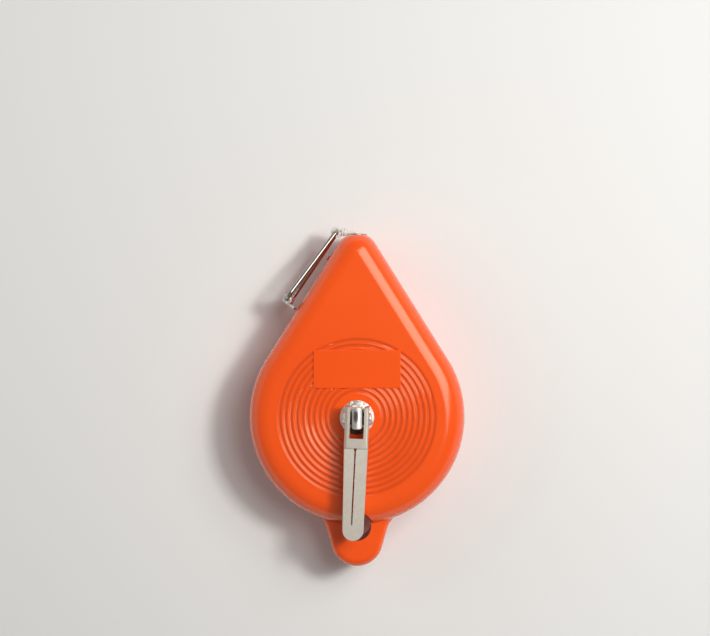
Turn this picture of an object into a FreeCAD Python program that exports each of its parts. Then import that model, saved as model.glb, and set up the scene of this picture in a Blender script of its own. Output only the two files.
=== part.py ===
import FreeCAD, Part
import math
import os

# Chalk line reel with a die-cast teardrop case, a folding crank and a hook on the end of its line.
# It lies on its back: z = 0 is the flat back face, +Z leaves the front face, +Y runs to the nose
# that the line leaves by, and the origin is on the reel's axis. Millimetres.

# ---- case ----
body_radius = 35.5        # round part of the case, about the reel's axis
nose_radius = 7.2         # round end that the line leaves by
nose_reach = 53.3         # reel's axis to the nose's centre
case_depth = 26.0         # back face to front face
wall = 2.2
front_shoulder = 6.7      # rounding from the front face into the side wall
back_shoulder = 4.0
seam_depth = 0.3          # fine groove round the body, where the halves meet
seam_height = 0.35

# ---- tail lug ----
lug_reach = 49.5          # reel's axis to the lug's end
lug_radius = 8.6          # the lug's round end
lug_taper = 16.0          # lean of each side, degrees
lug_thickness = 15.0
lug_edge = 2.5
lug_neck = 7.5            # hollow corner between the lug and the body
lug_neck_bite = 0.3       # how far the hollow corner runs into the body
lug_hole_reach = 36.2
lug_hole_radius = 4.7
lug_spotface = 0.6        # added to the hole's radius where it passes the body's shoulder

# ---- front face ----
ring_first = 8.7          # innermost groove
ring_pitch = 1.85
ring_count = 10
ring_depth = 0.34         # crest to groove
panel_width = 28.5        # plain panel that interrupts the rings
panel_height = 12.5
panel_reach = 15.8        # reel's axis to the panel's centre
panel_rise = 0.25

# ---- case screws ----
screw_radius = 1.5
screw_head_radius = 2.7
screw_head_height = 1.7
screw_head_sunk = 0.3
screw_tip_gap = 2.0       # blind end of the pilot hole
screw_socket_radius = 1.1
screw_socket_depth = 0.9
boss_wall = 1.4
tail_screw_inset = 4.9    # from the body's edge
tail_screw_angle = 29.0   # off the tail's centre line, degrees
nose_screw_inset = 6.0    # from each flank's face
nose_screw_start = 27.0   # along the flank, from its nose end
hole_clearance = 0.15

# ---- nose: ferrule, felt and its plate ----
nose_flat = 0.6           # depth of the flat on the tip of the nose
ferrule_radius = 2.6
ferrule_bore = 1.3
ferrule_flange_radius = 3.4
ferrule_flange = 0.6
nose_block = 12.0         # solid metal behind the nose's flat
felt_width = 9.2
felt_height = 12.0
felt_thickness = 4.4
felt_plate_thickness = 0.5
felt_rib = 1.2            # metal left behind the felt's plate
line_slot = 3.0
seat_clearance = 0.05     # pieces that are held still

# ---- chalk door on the -X flank ----
door_lip = 0.9            # wall outside the door's edges
door_thickness = 0.8
door_width = 12.0
door_length = 17.0
door_start = 4.4          # nose end of the door, along the flank
door_travel = 15.6
door_clearance = 0.1
door_overlap = 1.1        # how far each edge runs under its lip
door_backing = 2.0        # metal behind the door
door_tab_length = 1.6
door_tab_height = 0.6
door_tab_width = 6.0
door_tab_inset = 0.6
fill_start = 11.4
fill_length = 9.2
fill_height = 9.0
spring_thickness = 0.3
spring_width = 4.0
spring_length = 8.0
spring_rise = 0.75
spring_start = 25.5

# ---- reel ----
running_fit = 0.04        # radial, shaft in bush
axial_play = 0.15
spindle_radius = 3.7
journal_radius = 3.0
bush_wall = 1.5
bush_flange_radius = 6.4
bush_flange = 0.6
rear_floor_left = 1.2     # floor under the rear bush
rear_bush_height = 2.6
bearing_boss_radius = 7.5
bearing_boss_height = 1.2
seal_thickness = 1.0
thrust_washer_radius = 6.3
thrust_washer_thickness = 0.4
core_radius = 8.0
spigot_radius = 5.6
spigot_rise = 0.2
flange_radius = 26.4
flange_thickness = 0.8
flange_hole_radius = 3.2
flange_hole_reach = 17.0
flange_hole_count = 6
drive_pin_radius = 1.25
winding_radius = 23.2     # 30 m of line on the core
line_radius = 0.45

# ---- crank ----
park_angle = -2.1         # the folded crank's lean off the tail's centre line, degrees
collar_radius = 5.6
collar_crown = 4.1        # radius of the collar's flat top
collar_thickness = 0.75
collar_gap = 0.25
tongue_thickness = 3.7
tongue_reach = 3.5        # crank pin to each end of the tongue
tongue_corner = 1.1
tongue_rise = 2.45        # crank pin to the tongue's top
knuckle_radius = 4.2      # round end of the crank's fork
knuckle_gap = 0.2
crank_pin_radius = 1.25
pin_head_radius = 1.9
pin_head_height = 0.8
washer_radius = 2.1
washer_thickness = 0.38
washer_clearance = 0.03
tine_thickness = 1.65
lever_rise = 2.35         # crank pin to the lever's top
lever_drop = 3.5          # crank pin to its open underside
lever_reach = 39.5
lever_tip_radius = 3.4
lever_shoulder = 9.6      # where the folded flaps begin
lever_skin = 1.1
lever_edge = 0.8
flap_step = 0.3
web_start = 6.5
seam_width = 0.45
seam_end = 34.3
seam_shift = -0.2         # the seam's start, off the lever's centre line
seam_lean = -0.3          # and how much further off it ends
seam_relief = 0.5         # half width of the notch at the seam's start
seam_relief_length = 1.2
step_gap = 0.2

# ---- hook on the end of the line ----
mouth_gap = 0.6           # ferrule to the line's first bend
tail_length = 6.8         # that bend to the hook's wire
hook_lean = 35.5          # the folded hook's lean off the reel's centre line, degrees
hook_tilt = 5.0           # how far its front leg leans out from the case, degrees
wire_radius = 0.8
hook_length = 27.5
hook_half_width = 6.6
hook_eye_radius = 1.7
hook_corner_radius = 2.2
loop_clearance = 0.12
knot_radius = 1.15
claw_width = 8.6
claw_sheet = 0.8
claw_lip = 3.6
claw_clearance = 0.05

# ---- worked out from the sizes above ----
V = FreeCAD.Vector
up = V(0, 0, 1)
parting = case_depth / 2
flank_angle = math.asin((body_radius - nose_radius) / nose_reach)
nose_end = nose_reach + nose_radius - nose_flat
tail_block = lug_hole_reach - lug_hole_radius - wall
collar_base = case_depth + collar_gap
collar_top = collar_base + collar_thickness
crank_pin_z = collar_top + knuckle_gap + knuckle_radius
fork_gap = tongue_thickness / 2 + washer_thickness + 2 * washer_clearance
fork_half = fork_gap + tine_thickness
rear_bush_top = rear_floor_left + rear_bush_height
thrust_base = rear_bush_top + axial_play
drum_base = thrust_base + thrust_washer_thickness
front_bush_base = case_depth - wall - bearing_boss_height - bush_flange
drum_top = front_bush_base - axial_play
flange_low = drum_base + spigot_rise
flange_high = drum_top - spigot_rise - flange_thickness
front_bush_radius = spindle_radius + bush_wall
rear_bush_radius = journal_radius + bush_wall
screw_boss_radius = screw_radius + boss_wall
felt_top = nose_end - nose_block + felt_rib + felt_plate_thickness + felt_thickness
felt_base = felt_top - felt_thickness
plate_base = felt_base - felt_plate_thickness
loop_reach = wire_radius + loop_clearance + line_radius
mouth = V(0, nose_end + ferrule_flange + mouth_gap, parting)
hook_apex = mouth + V(-tail_length, 0, 0)
hook_along = V(-math.sin(math.radians(hook_lean)), -math.cos(math.radians(hook_lean)), 0)
hook_side = hook_along.cross(up)
hook_across = up * math.cos(math.radians(hook_tilt)) + hook_side * math.sin(math.radians(hook_tilt))
door_floor = -door_lip - door_thickness - 2 * door_clearance


def box(x0, x1, y0, y1, z0, z1):
    return Part.makeBox(x1 - x0, y1 - y0, z1 - z0, V(x0, y0, z0))


def rod(radius, start, end):
    return Part.makeCylinder(radius, (end - start).Length, start, end - start)


def disc(radius, z0, z1, x=0.0, y=0.0):
    return rod(radius, V(x, y, z0), V(x, y, z1))


def ring(outer, inner, z0, z1, x=0.0, y=0.0):
    return disc(outer, z0, z1, x, y).cut(disc(inner, z0, z1, x, y))


def prism(edges, rise):
    return Part.Face(Part.Wire(edges)).extrude(rise)


def level_edges(solid, z):
    return [edge for edge in solid.Edges
            if all(abs(vertex.Point.z - z) < 1e-6 for vertex in edge.Vertexes)]


def parked(shape):
    """Turn a piece to where the crank is left."""
    shape.rotate(V(0, 0, 0), up, park_angle)
    return shape


def flank_point(s, n, z, side=-1):
    """A point by the flank: s from the nose towards the tail, n out of its face."""
    out = V(side * math.cos(flank_angle), math.sin(flank_angle), 0)
    along = V(side * math.sin(flank_angle), -math.cos(flank_angle), 0)
    return V(0, nose_reach, z) + out * (nose_radius + n) + along * s


def flank_box(s0, s1, n0, n1, z0, z1):
    places = [(s0, n0), (s1, n0), (s1, n1), (s0, n1)]
    corners = [flank_point(s, n, z0) for s, n in places]
    return Part.Face(Part.makePolygon(corners + corners[:1])).extrude(V(0, 0, z1 - z0))


def teardrop(inset, z0, z1):
    """The case's outline moved in by inset, from z0 to z1."""
    body = body_radius - inset
    nose = nose_radius - inset
    side = V(math.cos(flank_angle), math.sin(flank_angle), 0)
    mirror = V(-side.x, side.y, 0)
    centre = V(0, nose_reach, z0)
    base = V(0, 0, z0)
    edges = [
        Part.Arc(base + side * body, base + V(0, -body, 0), base + mirror * body).toShape(),
        Part.LineSegment(base + mirror * body, centre + mirror * nose).toShape(),
        Part.Arc(centre + mirror * nose, centre + V(0, nose, 0), centre + side * nose).toShape(),
        Part.LineSegment(centre + side * nose, base + side * body).toShape(),
    ]
    return prism(edges, V(0, 0, z1 - z0))


def lug_blank():
    """Tail lug: a round end, two leaning sides and a hollow corner into the body on each side."""
    z0 = parting - lug_thickness / 2
    lean = math.radians(lug_taper)
    centre = V(0, lug_radius - lug_reach, z0)
    outward = V(math.cos(lean), -math.sin(lean), 0)
    upward = V(math.sin(lean), math.cos(lean), 0)
    seat = body_radius - lug_neck_bite
    start = centre + outward * (lug_radius + lug_neck)
    flat = V(start.x, start.y, 0)
    dot = flat.dot(upward)
    shift = -dot - math.sqrt(dot ** 2 - flat.dot(flat) + (seat + lug_neck) ** 2)
    hollow = start + upward * shift
    on_side = hollow - outward * lug_neck
    heart = V(hollow.x, hollow.y, 0).normalize()
    on_body = hollow - heart * lug_neck
    middle = hollow - (heart + outward).normalize() * lug_neck
    root_y = on_body.y + 2 * lug_neck

    def left(point):
        return V(-point.x, point.y, point.z)

    end_side = centre + outward * lug_radius
    root = V(on_body.x, root_y, z0)
    edges = [
        Part.Arc(on_body, middle, on_side).toShape(),
        Part.LineSegment(on_side, end_side).toShape(),
        Part.Arc(end_side, centre + V(0, -lug_radius, 0), left(end_side)).toShape(),
        Part.LineSegment(left(end_side), left(on_side)).toShape(),
        Part.Arc(left(on_side), left(middle), left(on_body)).toShape(),
        Part.LineSegment(left(on_body), left(root)).toShape(),
        Part.LineSegment(left(root), root).toShape(),
        Part.LineSegment(root, on_body).toShape(),
    ]
    blank = prism(edges, V(0, 0, lug_thickness))
    rim = [edge for edge in level_edges(blank, z0) + level_edges(blank, z0 + lug_thickness)
           if max(vertex.Point.y for vertex in edge.Vertexes) < on_body.y + 1e-6]
    return blank.makeFillet(lug_edge, rim)


def screw_places():
    lean = math.radians(tail_screw_angle)
    x = (body_radius - tail_screw_inset) * math.sin(lean)
    y = (tail_screw_inset - body_radius) * math.cos(lean)
    near = [flank_point(nose_screw_start, -nose_screw_inset, 0, side) for side in (1, -1)]
    return [(x, y), (-x, y)] + [(point.x, point.y) for point in near]


def cavity():
    """The hollow inside the case, less the metal that stands in it."""
    hollow = teardrop(wall, wall, case_depth - wall)
    hollow = hollow.makeFillet(front_shoulder - wall, level_edges(hollow, case_depth - wall))
    hollow = hollow.makeFillet(back_shoulder - wall, level_edges(hollow, wall))
    wide = 2 * body_radius
    metal = [
        box(-wide, wide, nose_end - nose_block, nose_end, 0, case_depth),
        box(-lug_hole_radius - 2 * wall, lug_hole_radius + 2 * wall, -wide, -tail_block, 0, case_depth),
        flank_box(0, door_start + door_length + door_travel + wall,
                  -door_lip - door_thickness - door_backing, 0,
                  parting - door_width / 2 - wall, parting + door_width / 2 + wall),
        disc(bearing_boss_radius, 0, wall + bearing_boss_height),
        disc(bearing_boss_radius, case_depth - wall - bearing_boss_height, case_depth),
    ]
    for x, y in screw_places():
        metal.append(disc(screw_boss_radius, 0, case_depth, x, y))
    return hollow.cut(Part.makeCompound(metal))


def door_cuts():
    """The slot that the door shows in, its channel, the mouth behind it and its spring's seat."""
    start = door_start - door_clearance
    end = door_start + door_length + door_travel + door_clearance
    show = door_width / 2 - door_overlap
    slide = door_width / 2 + door_clearance
    deep = -door_lip - door_thickness - door_backing - body_radius / 8
    return [
        flank_box(start, end, -door_lip, 1, parting - show, parting + show),
        flank_box(start, end, door_floor, -door_lip, parting - slide, parting + slide),
        flank_box(fill_start, fill_start + fill_length, deep, door_floor,
                  parting - fill_height / 2, parting + fill_height / 2),
        flank_box(spring_start, spring_start + spring_length,
                  door_floor - spring_rise - spring_thickness, door_floor,
                  parting - spring_width / 2 - seat_clearance, parting + spring_width / 2 + seat_clearance),
    ]


def nose_cuts():
    """The flat on the nose, the ferrule's bore, the felt's pocket and the line's slot."""
    half = felt_width / 2 + seat_clearance
    tall = felt_height / 2 + seat_clearance
    wide = 2 * nose_radius
    return [
        box(-wide, wide, nose_end, nose_end + wide, 0, case_depth),
        rod(ferrule_radius + seat_clearance, V(0, felt_top, parting), V(0, nose_end + 1, parting)),
        box(-half, half, plate_base - seat_clearance, felt_top, parting - tall, parting + tall),
        box(-line_slot / 2, line_slot / 2, nose_end - nose_block - 1, plate_base,
            parting - line_slot / 2, parting + line_slot / 2),
    ]


def lug_hole():
    x, y = 0, -lug_hole_reach
    wide = lug_hole_radius + lug_spotface
    return [
        disc(lug_hole_radius, -1, case_depth + 1, x, y),
        disc(wide, parting + lug_thickness / 2, case_depth + 1, x, y),
        disc(wide, -1, parting - lug_thickness / 2, x, y),
    ]


def seam_groove():
    low = parting - seam_height / 2
    high = parting + seam_height / 2
    band = teardrop(-seam_depth, low, high).cut(teardrop(seam_depth, low - 1, high + 1))
    reach = lug_radius + lug_neck
    return band.cut(box(-reach, reach, -2 * body_radius, -body_radius / 2, 0, case_depth))


def whole_case():
    case = teardrop(0, 0, case_depth)
    case = case.makeFillet(front_shoulder, level_edges(case, case_depth))
    case = case.makeFillet(back_shoulder, level_edges(case, 0))
    case = case.fuse(lug_blank())
    case = case.cut(cavity())
    for cut in door_cuts() + nose_cuts() + lug_hole() + [seam_groove()]:
        case = case.cut(cut)
    return case


def half(case, z0, z1):
    """One side of the parting plane."""
    wide = 3 * body_radius
    piece = case.common(box(-wide, wide, -wide, wide, z0, z1))
    return piece.removeSplitter()


def face_rings():
    """What is cut from the front face to leave round-topped rings: alternate arcs, turned."""
    step = ring_pitch / 2
    dip = ring_depth / 2
    radius = (step ** 2 / 4 + dip ** 2) / (2 * dip)
    reach = ring_first - step
    shoulder = step / 4
    fall = radius - math.sqrt(radius ** 2 - shoulder ** 2)
    edges = []
    for i in range(ring_count):
        crest = reach + ring_pitch * i
        following = crest + ring_pitch
        arcs = [
            [(crest, 0), (crest + shoulder, fall), (crest + step / 2, dip)],
            [(crest + step / 2, dip), (crest + step, 2 * dip), (following - step / 2, dip)],
            [(following - step / 2, dip), (following - shoulder, fall), (following, 0)],
        ]
        for points in arcs:
            edges.append(Part.Arc(*[V(x, 0, case_depth - depth) for x, depth in points]).toShape())
    end = reach + ring_pitch * ring_count
    corners = [V(x, 0, case_depth + rise) for x, rise in [(end, 0), (end, 1), (reach, 1), (reach, 0)]]
    edges += [Part.LineSegment(start, stop).toShape() for start, stop in zip(corners, corners[1:])]
    turned = Part.Face(Part.Wire(edges)).revolve(V(0, 0, 0), up, 360)
    return turned.cut(panel_box(case_depth - 2 * ring_depth, case_depth + 2))


def panel_box(z0, z1):
    return box(-panel_width / 2, panel_width / 2,
               panel_reach - panel_height / 2, panel_reach + panel_height / 2, z0, z1)


def face_panel():
    panel = panel_box(case_depth - ring_depth, case_depth + panel_rise)
    top = level_edges(panel, case_depth + panel_rise)
    return panel.makeChamfer(panel_rise * 0.6, top)


def make_front_case(case):
    front = half(case, parting, case_depth + 1)
    front = front.cut(face_rings())
    front = front.fuse(face_panel())
    front = front.cut(disc(front_bush_radius + seat_clearance, parting, case_depth + 1))
    blind_end = case_depth - wall - screw_tip_gap
    for x, y in screw_places():
        front = front.cut(disc(screw_radius - hole_clearance, parting - 1, blind_end, x, y))
    return front


def make_rear_case(case):
    rear = half(case, -1, parting)
    rear = rear.cut(disc(rear_bush_radius + seat_clearance, rear_floor_left, parting))
    sunk = screw_head_sunk + screw_head_height
    for x, y in screw_places():
        rear = rear.cut(disc(screw_radius + hole_clearance, -1, parting + 1, x, y))
        rear = rear.cut(disc(screw_head_radius + hole_clearance, -1, sunk, x, y))
    return rear


def make_case_screws():
    screws = []
    head_top = screw_head_sunk + screw_head_height
    tip = case_depth - wall - screw_tip_gap - 1
    for x, y in screw_places():
        head = disc(screw_head_radius, screw_head_sunk, head_top, x, y)
        head = head.makeFillet(screw_head_height / 3, level_edges(head, screw_head_sunk))
        head = head.cut(hexagon(screw_socket_radius, screw_head_sunk, screw_socket_depth, x, y))
        shank = disc(screw_radius - 2 * hole_clearance, head_top, tip, x, y)
        screws.append(head.fuse(shank))
    return Part.makeCompound(screws)


def hexagon(radius, z0, rise, x, y):
    turns = [math.pi * i / 3 for i in range(7)]
    corners = [V(x + radius * math.cos(turn), y + radius * math.sin(turn), z0) for turn in turns]
    return Part.Face(Part.makePolygon(corners)).extrude(V(0, 0, rise))


def make_nose_ferrule():
    tube = rod(ferrule_radius, V(0, felt_top + seat_clearance, parting), V(0, nose_end, parting))
    flange = rod(ferrule_flange_radius, V(0, nose_end, parting), V(0, nose_end + ferrule_flange, parting))
    rim = [edge for edge in flange.Edges
           if edge.Closed and abs(edge.Vertexes[0].Point.y - nose_end - ferrule_flange) < 1e-6]
    ferrule = tube.fuse(flange.makeFillet(ferrule_flange * 0.6, rim))
    ferrule = ferrule.cut(rod(ferrule_bore, V(0, felt_top - 1, parting), V(0, nose_end + 2, parting)))
    flare = Part.makeCone(ferrule_bore, ferrule_bore + ferrule_flange, ferrule_flange,
                          V(0, nose_end + ferrule_flange / 4, parting), V(0, 1, 0))
    return ferrule.cut(flare)


def make_felt_wiper():
    felt = box(-felt_width / 2, felt_width / 2, felt_base, felt_top - seat_clearance,
               parting - felt_height / 2, parting + felt_height / 2)
    start = V(0, felt_base - 1, parting)
    return felt.cut(rod(line_radius + seat_clearance, start, start + V(0, felt_thickness + 2, 0)))


def make_felt_plate():
    plate = box(-felt_width / 2, felt_width / 2, plate_base, felt_base,
                parting - felt_height / 2, parting + felt_height / 2)
    return plate.cut(rod(ferrule_bore, V(0, plate_base - 1, parting), V(0, felt_base + 1, parting)))


def make_chalk_door():
    """Sliding plate; its raised tab is pushed along the flank to open the filling mouth."""
    top = -door_lip - door_clearance
    plate = flank_box(door_start, door_start + door_length, top - door_thickness, top,
                      parting - door_width / 2, parting + door_width / 2)
    step = door_width / 2 - door_overlap - 2 * door_clearance
    tread = flank_box(door_start, door_start + door_length, top, -2 * door_clearance,
                      parting - step, parting + step)
    tab = flank_box(door_start + door_tab_inset, door_start + door_tab_inset + door_tab_length,
                    -4 * door_clearance, door_tab_height,
                    parting - door_tab_width / 2, parting + door_tab_width / 2)
    return plate.fuse(tread).fuse(tab).removeSplitter()


def make_door_spring():
    """Bowed leaf that presses on the back of the door."""
    floor = door_floor - spring_rise - spring_thickness + seat_clearance
    start = spring_start + seat_clearance
    end = spring_start + spring_length - seat_clearance
    mid = (start + end) / 2
    z = parting - spring_width / 2
    low = [flank_point(start, floor, z), flank_point(mid, door_floor - spring_thickness, z),
           flank_point(end, floor, z)]
    high = [flank_point(end, floor + spring_thickness, z), flank_point(mid, door_floor, z),
            flank_point(start, floor + spring_thickness, z)]
    edges = [
        Part.Arc(*low).toShape(),
        Part.LineSegment(low[2], high[0]).toShape(),
        Part.Arc(*high).toShape(),
        Part.LineSegment(high[2], low[0]).toShape(),
    ]
    return prism(edges, V(0, 0, spring_width))


def make_front_bush():
    top = case_depth - seal_thickness
    bush = disc(front_bush_radius, front_bush_base, top)
    bush = bush.fuse(disc(bush_flange_radius, front_bush_base, front_bush_base + bush_flange))
    return bush.cut(disc(spindle_radius + running_fit, front_bush_base - 1, top + 1))


def make_shaft_seal():
    return ring(front_bush_radius, spindle_radius + seat_clearance, case_depth - seal_thickness, case_depth)


def make_rear_bush():
    return ring(rear_bush_radius, journal_radius + running_fit, rear_floor_left, rear_bush_top)


def make_thrust_washer():
    return ring(thrust_washer_radius, journal_radius + running_fit, thrust_base, drum_base)


def make_spindle():
    """Stepped shaft; its outer end is flattened into a tongue that the crank's fork straddles."""
    journal = disc(journal_radius, rear_floor_left + axial_play, drum_base)
    shaft = disc(spindle_radius, drum_base, collar_top)
    blade = tongue_thickness / 2
    top = crank_pin_z + tongue_rise
    head = box(-blade, blade, -tongue_reach, tongue_reach, collar_top, top)
    head = head.makeFillet(tongue_corner, [edge for edge in head.Edges
                                           if abs(edge.Vertexes[0].Point.z - edge.Vertexes[1].Point.z) > 1])
    head = head.makeFillet(tongue_corner / 4, level_edges(head, top))
    spindle = journal.fuse(shaft).fuse(head)
    spindle = spindle.cut(rod(crank_pin_radius + running_fit, V(-spindle_radius, 0, crank_pin_z),
                              V(spindle_radius, 0, crank_pin_z)))
    drive_z = (drum_base + drum_top) / 2
    spindle = spindle.cut(rod(drive_pin_radius + seat_clearance, V(-2 * spindle_radius, 0, drive_z),
                              V(2 * spindle_radius, 0, drive_z)))
    return parked(spindle)


def make_hub_collar():
    rim = collar_thickness / 4
    collar = disc(collar_radius, collar_base, collar_base + rim)
    collar = collar.fuse(Part.makeCone(collar_radius, collar_crown, collar_thickness - rim,
                                       V(0, 0, collar_base + rim), up))
    return collar.cut(disc(spindle_radius + seat_clearance, collar_base - 1, collar_top + 1))


def make_drum_core():
    core = disc(core_radius, flange_low + flange_thickness, flange_high)
    core = core.fuse(disc(spigot_radius, drum_base, drum_top))
    core = core.cut(disc(spindle_radius + seat_clearance, drum_base - 1, drum_top + 1))
    drive_z = (drum_base + drum_top) / 2
    core = core.cut(rod(drive_pin_radius + seat_clearance, V(-2 * core_radius, 0, drive_z),
                        V(2 * core_radius, 0, drive_z)))
    return parked(core)


def make_flange(z0):
    plate = disc(flange_radius, z0, z0 + flange_thickness)
    rim = level_edges(plate, z0) + level_edges(plate, z0 + flange_thickness)
    plate = plate.makeFillet(flange_thickness * 0.3, rim)
    plate = plate.cut(disc(spigot_radius + seat_clearance, z0 - 1, z0 + flange_thickness + 1))
    for i in range(flange_hole_count):
        turn = 2 * math.pi * i / flange_hole_count
        x = flange_hole_reach * math.cos(turn)
        y = flange_hole_reach * math.sin(turn)
        plate = plate.cut(disc(flange_hole_radius, z0 - 1, z0 + flange_thickness + 1, x, y))
    return parked(plate)


def make_drive_pin():
    drive_z = (drum_base + drum_top) / 2
    reach = core_radius - seat_clearance
    return parked(rod(drive_pin_radius, V(-reach, 0, drive_z), V(reach, 0, drive_z)))


def make_line_winding():
    low = flange_low + flange_thickness + seat_clearance
    return ring(winding_radius, core_radius + seat_clearance, low, flange_high - seat_clearance)


def rounded_path(points, radii, closed=False):
    """Straight runs joined by arcs that touch both runs; one radius for each turned point."""
    count = len(points)
    turned = range(count) if closed else range(1, count - 1)
    arcs = {}
    for i, radius in zip(turned, radii):
        back = (points[i - 1] - points[i]).normalize()
        ahead = (points[(i + 1) % count] - points[i]).normalize()
        half_turn = (math.pi - back.getAngle(ahead)) / 2
        reach = radius * math.tan(half_turn)
        centre = points[i] + (back + ahead).normalize() * (radius / math.cos(half_turn))
        middle = centre + (points[i] - centre).normalize() * radius
        arcs[i] = (points[i] + back * reach, middle, points[i] + ahead * reach)
    edges = []
    for i in range(count if closed else count - 1):
        following = (i + 1) % count
        start = arcs[i][2] if i in arcs else points[i]
        end = arcs[following][0] if following in arcs else points[following]
        if (end - start).Length > 1e-6:
            edges.append(Part.LineSegment(start, end).toShape())
        if following in arcs:
            edges.append(Part.Arc(*arcs[following]).toShape())
    return Part.Wire(edges)


def tube(path, radius):
    edge = path.Edges[0]
    start = edge.valueAt(edge.FirstParameter)
    heading = edge.tangentAt(edge.FirstParameter)
    return path.makePipeShell([Part.Wire(Part.makeCircle(radius, start, heading))], True, False)


def make_line_run():
    """The line between the winding and the nose, drawn off the +X side of the winding."""
    reach = winding_radius + 2 * line_radius
    bend = V(0, nose_end - nose_block - 2 * line_slot, parting)
    turn = math.acos(reach / bend.y)
    leave = V(reach * math.sin(turn), reach * math.cos(turn), parting)
    end = V(0, nose_end + ferrule_flange / 2, parting)
    run = (end - bend).Length
    half_turn = (bend - leave).getAngle(end - bend) / 2
    radius = 0.45 * run / math.tan(half_turn)
    print("line run bend radius %.1f" % radius)
    return tube(rounded_path([leave, bend, end], [radius]), line_radius)


def make_crank_lever():
    """Folded-sheet lever: a fork round the spindle's tongue, a strap, and two flaps with a seam."""
    low = crank_pin_z - lever_drop
    high = crank_pin_z + lever_rise

    def plan(inset, z0, z1, end=knuckle_radius + 1):
        tip = lever_tip_radius - inset
        wide = fork_half - inset
        foot = V(0, lever_tip_radius - lever_reach, z0)
        edges = [
            Part.LineSegment(V(wide, end, z0), V(-wide, end, z0)).toShape(),
            Part.LineSegment(V(-wide, end, z0), V(-wide, -lever_shoulder, z0)).toShape(),
            Part.LineSegment(V(-wide, -lever_shoulder, z0), foot + V(-tip, 0, 0)).toShape(),
            Part.Arc(foot + V(-tip, 0, 0), foot + V(0, -tip, 0), foot + V(tip, 0, 0)).toShape(),
            Part.LineSegment(foot + V(tip, 0, 0), V(wide, -lever_shoulder, z0)).toShape(),
            Part.LineSegment(V(wide, -lever_shoulder, z0), V(wide, end, z0)).toShape(),
        ]
        return prism(edges, V(0, 0, z1 - z0))

    bar = plan(0, low, high)
    rim = [edge for edge in level_edges(bar, low) + level_edges(bar, high)
           if min(vertex.Point.y for vertex in edge.Vertexes) < -1e-6]
    bar = bar.makeFillet(lever_edge, rim)
    beyond = box(-2 * fork_half, 2 * fork_half, 0, 2 * knuckle_radius, low - 1, high + 1)
    lever = bar.cut(beyond.cut(rod(knuckle_radius, V(-2 * fork_half, 0, crank_pin_z),
                                   V(2 * fork_half, 0, crank_pin_z))))
    hollow = plan(lever_skin, low - 1, high - lever_skin - flap_step)
    hollow = hollow.cut(box(-fork_half, fork_half, -web_start, 1, low - 2, high))
    slot = box(-fork_gap, fork_gap, -web_start, 2 * knuckle_radius, low - 1, high + 1)
    step = box(-fork_half, fork_half, -lever_reach, -lever_shoulder, high - flap_step, high + 1)
    gap = box(-fork_half, fork_half, -lever_shoulder - step_gap, -lever_shoulder,
              high - 2 * flap_step, high + 1)
    bore = rod(crank_pin_radius + seat_clearance,
               V(-2 * fork_half, 0, crank_pin_z), V(2 * fork_half, 0, crank_pin_z))
    for cut in (hollow, slot, step, gap, lever_seam(low, high + 1), bore):
        lever = lever.cut(cut)
    return parked(lever)


def lever_seam(low, high):
    """The slit between the lever's flaps, with a wider notch at its start."""
    half = seam_width / 2
    throat = -lever_shoulder - seam_relief_length
    foot = seam_shift + seam_lean
    outline = [(seam_shift + seam_relief, -lever_shoulder), (seam_shift - seam_relief, -lever_shoulder),
               (seam_shift - half, throat), (foot - half, -seam_end), (foot + half, -seam_end),
               (seam_shift + half, throat)]
    corners = [V(x, y, low) for x, y in outline]
    return Part.Face(Part.makePolygon(corners + corners[:1])).extrude(V(0, 0, high - low))


def make_crank_pin():
    pin = rod(crank_pin_radius, V(-fork_half, 0, crank_pin_z), V(fork_half, 0, crank_pin_z))
    for side in (-1, 1):
        head = rod(pin_head_radius, V(side * fork_half, 0, crank_pin_z),
                   V(side * (fork_half + pin_head_height), 0, crank_pin_z))
        rim = [edge for edge in head.Edges if edge.Closed
               and abs(abs(edge.Vertexes[0].Point.x) - fork_half - pin_head_height) < 1e-6]
        pin = pin.fuse(head.makeFillet(pin_head_height * 0.7, rim))
    return parked(pin)


def make_crank_washers():
    washers = []
    for side in (-1, 1):
        start = V(side * (tongue_thickness / 2 + washer_clearance), 0, crank_pin_z)
        end = start + V(side * washer_thickness, 0, 0)
        washer = rod(washer_radius, start, end).cut(rod(crank_pin_radius + seat_clearance, start, end))
        washers.append(parked(washer))
    return Part.makeCompound(washers)


def hook_point(u, v):
    """A point in the hook's plane: u along the hook from its apex, v across it."""
    return hook_apex + hook_along * u + hook_across * v


def make_hook_bail():
    """Closed triangle of wire with a narrow apex for the line."""
    apex = hook_eye_radius
    corners = [hook_point(0, -apex * 0.7), hook_point(0, apex * 0.7),
               hook_point(hook_length, hook_half_width), hook_point(hook_length, -hook_half_width)]
    radii = [apex * 0.75, apex * 0.75, hook_corner_radius, hook_corner_radius]
    return tube(rounded_path(corners, radii, closed=True), wire_radius)


def make_hook_claw():
    """Sheet claw rolled round the base wire, with a lip that catches a board's edge."""
    axis = hook_point(hook_length, 0)
    low = axis - hook_across * (claw_width / 2)
    high = axis + hook_across * (claw_width / 2)
    inner = wire_radius + claw_clearance
    outer = inner + claw_sheet
    inward = hook_across.cross(hook_along)
    start = low + hook_along * inner
    corners = [start, start + inward * claw_lip, start + inward * claw_lip + hook_along * claw_sheet,
               start + hook_along * claw_sheet]
    lip = Part.Face(Part.makePolygon(corners + corners[:1])).extrude(hook_across * claw_width)
    claw = rod(outer, low, high).fuse(lip)
    return claw.cut(rod(inner, low - hook_across, high + hook_across)).removeSplitter()


def knot_ball():
    return Part.makeSphere(knot_radius, hook_apex + V(loop_reach + knot_radius, 0, 0))


def make_line_tail():
    tail = rod(line_radius, mouth, hook_apex + V(loop_reach + knot_radius, 0, 0))
    return tail.fuse(Part.makeSphere(line_radius, mouth)).cut(knot_ball())


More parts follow.
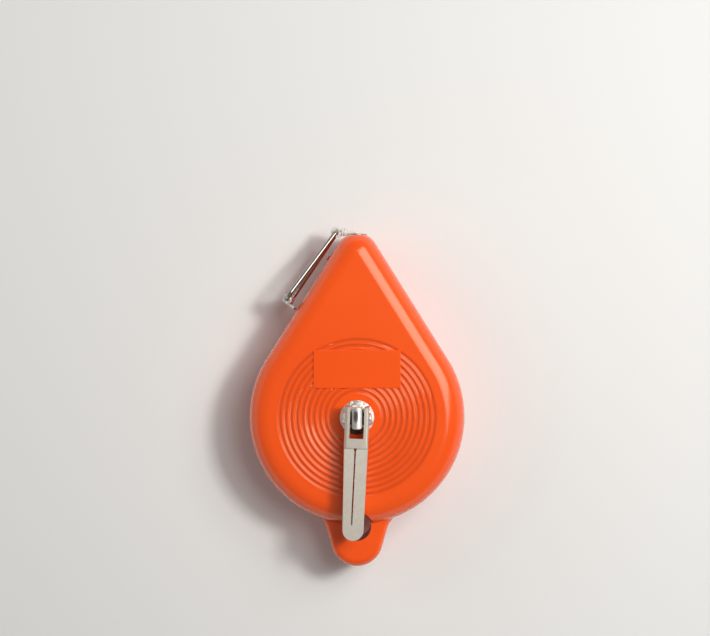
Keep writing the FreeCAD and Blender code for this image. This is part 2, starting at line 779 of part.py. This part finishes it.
def make_line_knot():
    """The loop that holds the hook's wire, and the knot that closes it."""
    return Part.makeTorus(loop_reach, line_radius, hook_apex, hook_across).fuse(knot_ball())


def save(name, shape):
    print("%-15s solids %d valid %s volume %.1f" % (name, len(shape.Solids), shape.isValid(), shape.Volume))
    shape.exportStep("parts/" + name + ".step")


def main():
    os.makedirs("parts", exist_ok=True)
    case = whole_case()
    save("front_case", make_front_case(case))
    save("rear_case", make_rear_case(case))
    save("case_screws", make_case_screws())
    save("nose_ferrule", make_nose_ferrule())
    save("felt_wiper", make_felt_wiper())
    save("felt_plate", make_felt_plate())
    save("chalk_door", make_chalk_door())
    save("door_spring", make_door_spring())
    save("front_bush", make_front_bush())
    save("rear_bush", make_rear_bush())
    save("shaft_seal", make_shaft_seal())
    save("thrust_washer", make_thrust_washer())
    save("spindle", make_spindle())
    save("hub_collar", make_hub_collar())
    save("drum_core", make_drum_core())
    save("front_flange", make_flange(flange_high))
    save("rear_flange", make_flange(flange_low))
    save("drive_pin", make_drive_pin())
    save("line_winding", make_line_winding())
    save("line_run", make_line_run())
    save("crank_lever", make_crank_lever())
    save("crank_pin", make_crank_pin())
    save("crank_washers", make_crank_washers())
    save("line_tail", make_line_tail())
    save("line_knot", make_line_knot())
    save("hook_bail", make_hook_bail())
    save("hook_claw", make_hook_claw())


main()
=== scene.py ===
import math
import random

import bpy
import bmesh
from mathutils import Matrix, Vector


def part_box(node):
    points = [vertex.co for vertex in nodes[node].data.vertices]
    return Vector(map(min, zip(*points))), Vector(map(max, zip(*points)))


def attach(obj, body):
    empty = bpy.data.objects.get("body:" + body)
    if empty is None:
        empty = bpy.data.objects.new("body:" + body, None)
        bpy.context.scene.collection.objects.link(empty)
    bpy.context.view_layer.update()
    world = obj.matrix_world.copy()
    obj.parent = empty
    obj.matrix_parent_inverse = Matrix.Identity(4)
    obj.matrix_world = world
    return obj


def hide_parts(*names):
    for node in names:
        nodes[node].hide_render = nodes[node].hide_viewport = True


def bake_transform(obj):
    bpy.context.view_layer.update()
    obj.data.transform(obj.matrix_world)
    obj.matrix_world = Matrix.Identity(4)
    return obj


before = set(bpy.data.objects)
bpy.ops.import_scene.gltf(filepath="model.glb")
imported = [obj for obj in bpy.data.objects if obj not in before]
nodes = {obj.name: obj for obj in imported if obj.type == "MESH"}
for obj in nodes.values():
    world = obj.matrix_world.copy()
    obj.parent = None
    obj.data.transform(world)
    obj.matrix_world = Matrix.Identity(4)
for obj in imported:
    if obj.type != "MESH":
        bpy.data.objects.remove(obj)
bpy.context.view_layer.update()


class Link:
    # one socket; arithmetic on it adds Math nodes
    def __init__(self, web, socket):
        self.web = web
        self.socket = socket

    def math(self, operation, a, b=0.0):
        return self.web.node("ShaderNodeMath", {"operation": operation}, {0: a, 1: b})

    def __add__(self, other):
        return self.math("ADD", self, other)

    def __sub__(self, other):
        return self.math("SUBTRACT", self, other)

    def __rsub__(self, other):
        return self.math("SUBTRACT", other, self)

    def __mul__(self, other):
        return self.math("MULTIPLY", self, other)

    def __truediv__(self, other):
        return self.math("DIVIDE", self, other)

    def __pow__(self, other):
        return self.math("POWER", self, other)

    __radd__ = __add__
    __rmul__ = __mul__

    def size(self):
        return self.math("ABSOLUTE", self)

    def most(self, other):
        return self.math("MAXIMUM", self, other)

    def above(self, edge, soft):
        # 0 below edge, 1 past edge + soft
        return self.web.node("ShaderNodeMapRange", {"interpolation_type": "SMOOTHSTEP"},
                             {0: self, 1: edge, 2: edge + soft})


class Web:
    # a node tree and the ways its nodes are made
    def __init__(self, tree):
        self.tree = tree

    def node(self, kind, settings, inputs, output=0):
        made = self.tree.nodes.new(kind)
        for name, value in settings.items():
            setattr(made, name, value)
        for name, value in inputs.items():
            self.join(made.inputs[name], value)
        return Link(self, made.outputs[output])

    def join(self, socket, value):
        if isinstance(value, Link):
            self.tree.links.new(value.socket, socket)
        elif isinstance(value, tuple) and len(value) == 3 and socket.type == "RGBA":
            socket.default_value = value + (1.0,)
        else:
            socket.default_value = value

    def split(self, vector):
        return [self.node("ShaderNodeSeparateXYZ", {}, {0: vector}, i) for i in range(3)]

    def blend(self, factor, a, b):
        return self.node("ShaderNodeMix", {"data_type": "RGBA"}, {0: factor, 6: a, 7: b}, 2)


class Finish(Web):
    # a Principled material and the nodes that feed it
    def __init__(self, name, **fixed):
        self.material = bpy.data.materials.new(name)
        self.material.use_nodes = True
        super().__init__(self.material.node_tree)
        self.shader = self.tree.nodes["Principled BSDF"]
        for socket, value in fixed.items():
            self.feed(socket, value)
        self.place = self.node("ShaderNodeTexCoord", {}, {}, "Object")

    def feed(self, socket, value):
        self.join(self.shader.inputs[socket.replace("_", " ")], value)

    def noise(self, scale, detail=3.0, rough=0.5, stretch=None):
        where = self.place
        if stretch:
            where = self.node("ShaderNodeMapping", {}, {"Vector": self.place, "Scale": stretch})
        return self.node("ShaderNodeTexNoise", {}, {"Vector": where, "Scale": scale, "Detail": detail,
                                                    "Roughness": rough})

    def bump(self, height, distance, strength=1.0, normal=None):
        inputs = {"Height": height, "Distance": distance, "Strength": strength}
        if normal:
            inputs["Normal"] = normal
        return self.node("ShaderNodeBump", {}, inputs, "Normal")


view = {"centre": (-0.00065, 0.0325), "height": 0.65, "floorWidth": 0.2415, "sensor": 0.036}

lights = {
    "key": {"place": (0.36, 0.16, 0.60), "size": (0.12, 0.12), "power": 2.3, "colour": (1.0, 0.98, 0.95),
            "mirrored": False},
    "wide": {"place": (0.32, 0.22, 0.62), "size": (0.40, 0.54), "power": 2.8, "colour": (1.0, 0.98, 0.95),
             "mirrored": True},
    "fill": {"place": (-0.60, 0.22, 0.30), "size": (0.50, 0.40), "power": 0.85, "colour": (1.0, 0.99, 0.97),
             "mirrored": False},
}
lampAim = (0, 0.01, 0.01)

backdrop = {
    "ambient": 0.14,          # what the object is lit by from all round
    "pale": 0.86,             # what is seen behind it, also in the metal
    "zenith": 0.28,           # the same, overhead
    "ceiling": (0.05, 0.45),  # how high it starts to darken, and over what rise
}

ground = {
    "colour": (0.80, 0.80, 0.79),
    "rough": 0.85,
    "half": 2.0,
    "drop": 0.0002,           # below the object's back face
    "fade": (0.22, 0.55),     # how far out it starts to go over into the backdrop, and over what length
}


def makeCamera():
    lens = bpy.data.cameras.new("camera")
    lens.sensor_width = view["sensor"] * 1000
    lens.lens = lens.sensor_width * view["height"] / view["floorWidth"]
    camera = bpy.data.objects.new("camera", lens)
    camera.location = (view["centre"][0], view["centre"][1], view["height"])
    bpy.context.scene.collection.objects.link(camera)
    bpy.context.scene.camera = camera


def makeLights():
    for name, spec in lights.items():
        lamp = bpy.data.lights.new(name, "AREA")
        lamp.shape = "RECTANGLE"
        lamp.size, lamp.size_y = spec["size"]
        lamp.energy = spec["power"]
        lamp.color = spec["colour"]
        obj = bpy.data.objects.new(name, lamp)
        obj.location = spec["place"]
        obj.rotation_euler = (Vector(lampAim) - obj.location).to_track_quat("-Z", "Y").to_euler()
        obj.visible_glossy = spec["mirrored"]
        bpy.context.scene.collection.objects.link(obj)


def backdropRays(web):
    # 1 for the camera's rays and for those that a piece mirrors or lets through
    names = ("Is Camera Ray", "Is Glossy Ray", "Is Transmission Ray")
    camera, glossy, through = [web.node("ShaderNodeLightPath", {}, {}, name) for name in names]
    return camera.most(glossy).most(through)


def makeWorld():
    world = bpy.data.worlds.new("studio")
    world.use_nodes = True
    web = Web(world.node_tree)
    seen = backdropRays(web)
    rise = web.split(web.node("ShaderNodeTexCoord", {}, {}, "Generated"))[2]
    shown = rise.above(*backdrop["ceiling"]) * (backdrop["zenith"] - backdrop["pale"]) + backdrop["pale"]
    strength = (1 - seen) * backdrop["ambient"] + seen * shown
    sky = world.node_tree.nodes["Background"]
    web.join(sky.inputs["Color"], (1.0, 1.0, 1.0))
    web.join(sky.inputs["Strength"], strength)
    bpy.context.scene.world = world
    bpy.context.scene.view_settings.view_transform = "Standard"


def makeFloor():
    shape = bmesh.new()
    bmesh.ops.create_grid(shape, x_segments=1, y_segments=1, size=ground["half"])
    mesh = bpy.data.meshes.new("floor")
    shape.to_mesh(mesh)
    shape.free()
    finish = Finish("paleFloor", Roughness=ground["rough"], Base_Color=ground["colour"])
    x, y, z = finish.split(finish.place)
    far = ((x * x + y * y) ** 0.5).above(*ground["fade"])
    pale = finish.node("ShaderNodeEmission", {}, {"Color": (1.0, 1.0, 1.0), "Strength": backdrop["pale"]})
    lit = Link(finish, finish.shader.outputs[0])
    mixed = finish.node("ShaderNodeMixShader", {}, {0: far * backdropRays(finish), 1: lit, 2: pale})
    finish.join(finish.tree.nodes["Material Output"].inputs["Surface"], mixed)
    mesh.materials.append(finish.material)
    floor = bpy.data.objects.new("floor", mesh)
    floor.location.z = -ground["drop"]
    bpy.context.scene.collection.objects.link(floor)


enamel = {
    "colour": (0.93, 0.083, 0.001), "pale": (0.95, 0.100, 0.002), "deep": (0.66, 0.066, 0.008),
    "holeShade": (0.45, 0.020, 0.008),     # painted shade inside the lug's hole
    "sheen": (1.0, 0.72, 0.42), "specular": 0.6,
    "rough": 0.22, "roughSpread": 0.06,
    "coat": 0.75, "coatRough": 0.15, "coatLoss": 0.25,   # thinner over the rings
    "ringEdge": 0.0264, "panelRise": 0.00025, "grooveDepth": 0.00034,
    "holeAway": 0.0362, "holeRadius": 0.0047, "holeHalf": 0.0070, "middle": 0.013,
    "peel": (0.00003, 0.45), "cast": (0.00010, 0.3),     # height and strength of the two bumps
}


def casePaint():
    finish = Finish("orangeEnamel", Coat_Roughness=enamel["coatRough"], Specular_IOR_Level=enamel["specular"],
                    Specular_Tint=enamel["sheen"])
    x, y, z = finish.split(finish.place)
    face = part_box("front_case")[1].z - enamel["panelRise"]
    depth = enamel["grooveDepth"]
    inRings = 1 - ((x * x + y * y) ** 0.5).above(enamel["ringEdge"], depth)
    # painted shade: the ring valleys are darkened
    shadedGrooves = (1 - z.above(face - depth, depth * 0.8)) * z.above(face - 3 * depth, depth / 2) * inRings
    reach = (x * x + (y + enamel["holeAway"]) ** 2) ** 0.5
    deepIn = (z - enamel["middle"]).size().above(enamel["holeHalf"], 0.0003)
    inHole = (1 - reach.above(enamel["holeRadius"], 0.00025)) * (1 - deepIn)
    drift = finish.noise(38.0).above(0.35, 0.4)
    colour = finish.blend(drift * 0.35, enamel["colour"], enamel["pale"])
    colour = finish.blend(shadedGrooves * 0.8, colour, enamel["deep"])
    # painted shade inside the lug's hole, which also loses its coat
    finish.feed("Base_Color", finish.blend(inHole, colour, enamel["holeShade"]))
    spread = enamel["roughSpread"]
    finish.feed("Roughness", finish.noise(210.0, 4.0) * spread + enamel["rough"] - spread / 2)
    finish.feed("Coat_Weight", (enamel["coat"] - inRings * enamel["coatLoss"]) * (1 - inHole))
    peel = finish.bump(finish.noise(850.0, 2.0, 0.45), *enamel["peel"])
    finish.feed("Normal", finish.bump(finish.noise(120.0, 2.0), *enamel["cast"], peel))
    return finish


satinLook = {"clean": (0.86, 0.80, 0.70), "dull": (0.74, 0.685, 0.585), "rough": 0.34,
             "brush": (5200.0, 90.0, 5200.0)}
# the step line's colour and the fork's colour below are painted shade
lever = {"step": -0.0097, "stepWidth": 0.00008, "lean": -2.1,
         "stepShade": (0.16, 0.13, 0.11), "stepShadeMix": 0.35, "fork": (0.62, 0.55, 0.48), "forkShadeMix": 0.5}


def satinNickel(name, stepped=False):
    finish = Finish(name, Metallic=1.0)
    brushed = finish.noise(1.0, 4.0, 0.6, satinLook["brush"])
    cloud = finish.noise(420.0, 4.0, 0.6).above(0.3, 0.4)
    colour = finish.blend(cloud * 0.6, satinLook["clean"], satinLook["dull"])
    if stepped:
        # painted shade: a dark line at the step where the folded flaps begin, and the fork past it painted
        # darker
        x, y, z = finish.split(finish.place)
        lean = math.radians(lever["lean"])
        along = y * math.cos(lean) - x * math.sin(lean)
        stepShade = 1 - (along - lever["step"]).size().above(lever["stepWidth"], 0.0002)
        colour = finish.blend(stepShade * lever["stepShadeMix"], colour, lever["stepShade"])
        forkShaded = along.above(lever["step"], 0.0002)
        colour = finish.blend(forkShaded * lever["forkShadeMix"], colour, lever["fork"])
    finish.feed("Base_Color", colour)
    finish.feed("Roughness", brushed * 0.14 + cloud * 0.08 + satinLook["rough"])
    finish.feed("Normal", finish.bump(brushed, 0.00002, 0.5))
    return finish


barrelLook = {"clean": (0.92, 0.88, 0.80), "dull": (0.36, 0.31, 0.28), "rough": 0.28,
              "clouds": 0.2, "dents": 0.00004, "oiledClouds": 0.55, "oiledDents": 0.00016}
# a painted shadow on the collar under the crank lever
crankGapShadow = {"half": 0.0021, "start": 0.0030, "colour": (0.030, 0.010, 0.008)}


def barrelNickel(name, cloudedAndShaded=False):
    # tumbled before plating: bright with small dull clouds
    finish = Finish(name, Metallic=1.0)
    cloud = finish.noise(760.0, 3.0, 0.6).above(0.45, 0.2)
    clouds = barrelLook["oiledClouds" if cloudedAndShaded else "clouds"]
    dents = barrelLook["oiledDents" if cloudedAndShaded else "dents"]
    colour = finish.blend(cloud * clouds, barrelLook["clean"], barrelLook["dull"])
    if cloudedAndShaded:
        # painted shadow: a dark mark under the crank's pin, in the fork's gap, where the lever shades the
        # collar
        x, y, z = finish.split(finish.place)
        gapShadow = (1 - x.size().above(crankGapShadow["half"], 0.0003)) * (0 - y).above(crankGapShadow["start"], 0.0003)
        colour = finish.blend(gapShadow * 0.9, colour, crankGapShadow["colour"])
    finish.feed("Base_Color", colour)
    finish.feed("Roughness", cloud * 0.12 + barrelLook["rough"])
    finish.feed("Normal", finish.bump(cloud, dents, 0.8))
    return finish


tongue = {"base": 0.0295, "half": 0.0015, "crown": 0.00042, "centre": (-0.00045, 0.0008),
          "oval": (0.00080, 0.0023), "clean": (0.95, 0.91, 0.83), "dull": (0.60, 0.55, 0.50),
          # the last two colours are a painted dark reflection and painted shade
          "reflectionPatch": (0.15, 0.11, 0.09), "sideShade": (0.020, 0.016, 0.014), "rough": 0.34}


def tongueNickel():
    # the spindle's flat is crowned, with a painted dark reflection left of its middle and painted shade down
    # its sides
    finish = Finish("tongueNickel", Metallic=1.0)
    x, y, z = finish.split(finish.place)
    raised = z.above(tongue["base"], 0.0003)
    acrossOval = (x - tongue["centre"][0]) / tongue["oval"][0]
    alongOval = (y - tongue["centre"][1]) / tongue["oval"][1]
    reach = (acrossOval * acrossOval + alongOval * alongOval) ** 0.5
    cloud = finish.noise(900.0, 3.0, 0.6).above(0.42, 0.2)
    # painted dark reflection, also made a shallow dent
    reflectionPatch = (1 - (reach + cloud * 0.35).above(0.5, 0.75)) * raised
    # painted shade down the sides, which are also rougher
    shadedSides = x.size().above(tongue["half"], 0.0002) * raised
    colour = finish.blend(cloud * 0.25, tongue["clean"], tongue["dull"])
    colour = finish.blend(reflectionPatch * 0.9, colour, tongue["reflectionPatch"])
    finish.feed("Base_Color", finish.blend(shadedSides, colour, tongue["sideShade"]))
    finish.feed("Roughness", cloud * 0.08 + shadedSides * 0.3 + tongue["rough"])
    crown = (x * x) / tongue["half"] ** 2 * raised
    finish.feed("Normal", finish.bump(reflectionPatch, -0.00008, 0.7, finish.bump(crown, -tongue["crown"])))
    return finish


metals = {   # grain is a noise's scale and detail; it runs from the first colour and roughness to the second
    "brightNickel": {"first": (0.44, 0.42, 0.40), "second": (0.32, 0.31, 0.29), "mix": 0.5,
                     "grain": (420.0, 3.0), "rough": (0.06, 0.16), "dents": (1500.0, 0.4)},
    "zincedSteel": {"first": (0.52, 0.52, 0.50), "second": (0.38, 0.38, 0.40), "mix": 1.0,
                    "grain": (300.0, 4.0), "rough": (0.25, 0.45), "dents": (1800.0, 0.5)},
    "oiledSteel": {"first": (0.045, 0.038, 0.033), "second": (0.10, 0.085, 0.07), "mix": 1.0,
                   "grain": (1200.0, 3.0), "rough": (0.4, 0.6), "dents": None},
    "turnedBrass": {"first": (0.82, 0.60, 0.26), "second": (0.64, 0.43, 0.16), "mix": 1.0,
                    "grain": (350.0, 3.0), "rough": (0.22, 0.37), "dents": None},
}


def cloudedMetal(name):
    look = metals[name]
    finish = Finish(name, Metallic=1.0)
    cloud = finish.noise(*look["grain"])
    finish.feed("Base_Color", finish.blend(cloud * look["mix"], look["first"], look["second"]))
    low, high = look["rough"]
    finish.feed("Roughness", cloud * (high - low) + low)
    if look["dents"]:
        scale, strength = look["dents"]
        finish.feed("Normal", finish.bump(finish.noise(scale, 2.0), 0.00002, strength))
    return finish


felt = {"dark": (0.42, 0.40, 0.36), "pale": (0.62, 0.60, 0.55), "sheen": 0.4, "rough": 0.95}


def woolFelt():
    finish = Finish("woolFelt", Sheen_Weight=felt["sheen"], Roughness=felt["rough"])
    fibre = finish.noise(2600.0, 5.0, 0.7)
    finish.feed("Base_Color", finish.blend(fibre, felt["dark"], felt["pale"]))
    finish.feed("Normal", finish.bump(fibre, 0.00025, 0.8))
    return finish


yarn = {"dark": (0.66, 0.64, 0.58), "pale": (0.88, 0.87, 0.82), "sheen": 0.25, "rough": 0.8}


def twistedLine():
    finish = Finish("twistedLine", Sheen_Weight=yarn["sheen"], Roughness=yarn["rough"])
    fibre = finish.noise(3200.0, 3.0, 0.6)
    finish.feed("Base_Color", finish.blend(fibre, yarn["dark"], yarn["pale"]))
    finish.feed("Normal", finish.bump(fibre, 0.00006, 0.7))
    return finish


def dress(finish, *names):
    for name in names:
        mesh = nodes[name].data
        mesh.materials.clear()
        mesh.materials.append(finish.material)


twine = {"radius": 0.00045, "strands": 3, "lobe": 0.17, "twistLength": 0.0029, "step": 0.00022, "sides": 18,
         "weld": 1e-7}


def strandSection():
    # the cross-section of three strands laid together, as a closed curve
    data = bpy.data.curves.new("strandSection", "CURVE")
    spline = data.splines.new("POLY")
    spline.points.add(twine["sides"] - 1)
    for i, point in enumerate(spline.points):
        turn = 2 * math.pi * i / twine["sides"]
        bulge = abs(math.cos(turn * twine["strands"] / 2))
        reach = twine["radius"] * (1 - twine["lobe"] + twine["lobe"] * bulge)
        point.co = (reach * math.cos(turn), reach * math.sin(turn), 0, 1)
    spline.use_cyclic_u = True
    return bpy.data.objects.new("strandSection", data)


def evenly(points, step):
    # the same path with a point every step along it
    made = [points[0]]
    spare = 0.0
    for a, b in zip(points, points[1:]):
        length = (b - a).length
        at = step - spare
        while at <= length:
            made.append(a.lerp(b, at / length))
            at += step
        spare = length - (at - step)
    return made


def layTwine(name, points, body, finish, step=None):
    # a twisted line along the points, as a mesh
    path = evenly(points, step or twine["step"])
    data = bpy.data.curves.new(name, "CURVE")
    data.dimensions = "3D"
    data.twist_mode = "MINIMUM"
    spline = data.splines.new("POLY")
    spline.points.add(len(path) - 1)
    gone = 0.0
    for i, point in enumerate(spline.points):
        if i:
            gone += (path[i] - path[i - 1]).length
        point.co = (*path[i], 1)
        point.tilt = 2 * math.pi * gone / twine["twistLength"]
    section = strandSection()
    data.bevel_mode = "OBJECT"
    data.bevel_object = section
    data.use_fill_caps = True
    holder = bpy.data.objects.new(name, data)
    bpy.context.scene.collection.objects.link(holder)
    bpy.context.scene.collection.objects.link(section)
    bpy.context.view_layer.update()
    mesh = bpy.data.meshes.new_from_object(holder.evaluated_get(bpy.context.evaluated_depsgraph_get()))
    bpy.data.objects.remove(holder)
    bpy.data.objects.remove(section)
    shape = bmesh.new()
    shape.from_mesh(mesh)
    bmesh.ops.remove_doubles(shape, verts=shape.verts, dist=twine["weld"])
    bmesh.ops.recalc_face_normals(shape, faces=shape.faces)
    for face in shape.faces:
        face.smooth = len(face.verts) == 4
    shape.to_mesh(mesh)
    shape.free()
    mesh.materials.clear()
    mesh.materials.append(finish.material)
    piece = bpy.data.objects.new(name, mesh)
    bpy.context.scene.collection.objects.link(piece)
    if body:
        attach(piece, body)
    return piece


def arc(centre, start, turn, normal, count=24):
    # points round centre from start, by turn radians about normal
    spin = [Matrix.Rotation(turn * i / count, 3, normal) for i in range(count + 1)]
    return [centre + m @ (start - centre) for m in spin]


nose = {"bendY": 0.0419, "bendRadius": 0.026, "mouthY": 0.0611, "apexX": -0.0068, "turnRadius": 0.0008,
        "hookLean": 35.5, "hookTilt": 5.0}
knot = {"loopReach": 0.00137, "loopTurn": 310, "coilReach": 0.00088, "coilPitch": 0.00086, "coils": 2,
        "coilStart": 0.00035, "coilSteps": 40}


def makeDrawnLine(finish):
    # from the winding to the nose, round the ferrule's lip and on to the knot
    z = (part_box("nose_ferrule")[0].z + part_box("nose_ferrule")[1].z) / 2
    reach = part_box("line_winding")[1].x + 2 * twine["radius"]
    turn = math.acos(reach / nose["bendY"])
    leave = Vector((reach * math.sin(turn), reach * math.cos(turn), z))
    bend = Vector((0, nose["bendY"], z))
    back = (leave - bend).normalized()
    half = (math.pi - back.angle(Vector((0, 1, 0)))) / 2
    cut = nose["bendRadius"] * math.tan(half)
    start = bend + back * cut
    heart = Vector((nose["bendRadius"], bend.y + cut, z))
    small = nose["turnRadius"]
    corner = Vector((-small, nose["mouthY"] - small, z))
    points = [leave] + arc(heart, start, -2 * half, Vector((0, 0, 1)))
    points += arc(corner, corner + Vector((small, 0, 0)), math.pi / 2, Vector((0, 0, 1)), 12)
    points.append(Vector((-0.0024, nose["mouthY"], z)))
    piece = layTwine("drawnLine", points, None, finish)
    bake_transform(piece)
    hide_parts("line_run", "line_tail")


def makeKnot(finish):
    # the line goes round the hook's wire, comes back and is wound round itself
    z = (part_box("nose_ferrule")[0].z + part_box("nose_ferrule")[1].z) / 2
    apex = Vector((nose["apexX"], nose["mouthY"], z))
    lean, tilt = math.radians(nose["hookLean"]), math.radians(nose["hookTilt"])
    out = Vector((-math.cos(lean), math.sin(lean), 0))
    wire = out * math.sin(tilt) + Vector((0, 0, math.cos(tilt)))
    towards = (Vector((1, 0, 0)) - wire * wire.x).normalized()
    loop = knot["loopReach"]
    entry = apex + towards * loop
    points = [Vector((-0.0022, nose["mouthY"], z)), Vector((entry.x + 0.0012, nose["mouthY"], z))]
    points += arc(apex, entry, math.radians(knot["loopTurn"]), wire, 48)[3:]
    coil, count = knot["coilReach"], knot["coilSteps"]
    first = entry.x + knot["coilStart"]
    for i in range(count * knot["coils"] + 1):
        at = 2 * math.pi * i / count - math.pi / 2
        points.append(Vector((first + knot["coilPitch"] * i / count, nose["mouthY"] + coil * math.sin(at),
                              z + coil * math.cos(at))))
    points.append(points[-1] + Vector((0.0002, -0.0001, 0.0009)))
    piece = layTwine("lineKnot", points, "line_end", finish)
    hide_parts("line_knot")


winding = {"pitch": 0.00092, "sink": 0.00006, "wander": 0.00012, "waves": 0.37, "step": 0.0011, "seed": 7,
           "facets": 96, "overCore": 0.00005, "underSink": 1.5}


def makeWinding(finish):
    # the outer layer of line on the drum, over the layers below it
    low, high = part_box("line_winding")
    z0, z1, reach = low.z, high.z, high.x
    chance = random.Random(winding["seed"])
    room = (z1 - z0) / 2 - twine["radius"]
    turns = int(2 * room / winding["pitch"])
    facets = winding["facets"]
    points = []
    steps = turns * facets
    lift = [chance.uniform(-1, 1) for i in range(turns + 2)]
    for i in range(steps + 1):
        turn = 2 * math.pi * i / facets
        whole, part = divmod(i / facets, 1)
        ease = part * part * (3 - 2 * part)
        jitter = lift[int(whole)] * (1 - ease) + lift[int(whole) + 1] * ease
        out = reach - twine["radius"] - winding["sink"] * (1 + jitter)
        wander = winding["wander"] * jitter * math.sin(turn * winding["waves"])
        up = z0 + twine["radius"] + 2 * room * i / steps + wander
        points.append(Vector((out * math.cos(turn), out * math.sin(turn),
                              min(max(up, z0 + twine["radius"]), z1 - twine["radius"]))))
    piece = layTwine("woundLine", points, "reel", finish, winding["step"])
    shape = bmesh.new()
    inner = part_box("drum_core")[1].x + winding["overCore"]
    outer = reach - winding["underSink"] * twine["radius"]
    places = ((inner, 0, z0), (outer, 0, z0), (outer, 0, z1), (inner, 0, z1))
    corners = [shape.verts.new(place) for place in places]
    edges = [shape.edges.new((corners[i], corners[(i + 1) % 4])) for i in range(4)]
    bmesh.ops.spin(shape, geom=corners + edges, cent=(0, 0, 0), axis=(0, 0, 1), dvec=(0, 0, 0),
                   angle=2 * math.pi, steps=facets, use_merge=True, use_duplicate=False)
    bmesh.ops.recalc_face_normals(shape, faces=shape.faces)
    mesh = bpy.data.meshes.new("lineUnder")
    shape.to_mesh(mesh)
    shape.free()
    mesh.materials.append(finish.material)
    under = bpy.data.objects.new("lineUnder", mesh)
    bpy.context.scene.collection.objects.link(under)
    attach(under, "reel")
    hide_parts("line_winding")


makeCamera()
makeLights()
makeWorld()
makeFloor()
print("stage set")

line = twistedLine()
dress(casePaint(), "front_case", "rear_case", "chalk_door")
dress(satinNickel("leverNickel", True), "crank_lever")
dress(satinNickel("satinNickel"), "front_flange", "rear_flange", "door_spring")
dress(barrelNickel("collarShadedNickel", True), "hub_collar")
dress(barrelNickel("barrelNickel"), "crank_pin", "hook_claw")
dress(tongueNickel(), "spindle")
dress(cloudedMetal("brightNickel"), "nose_ferrule", "hook_bail")
dress(cloudedMetal("zincedSteel"), "case_screws", "felt_plate", "thrust_washer", "drum_core", "drive_pin")
dress(cloudedMetal("oiledSteel"), "crank_washers")
dress(cloudedMetal("turnedBrass"), "front_bush", "rear_bush")
dress(woolFelt(), "felt_wiper", "shaft_seal")
print("finishes on")

makeDrawnLine(line)
makeKnot(line)
makeWinding(line)
print("line laid")
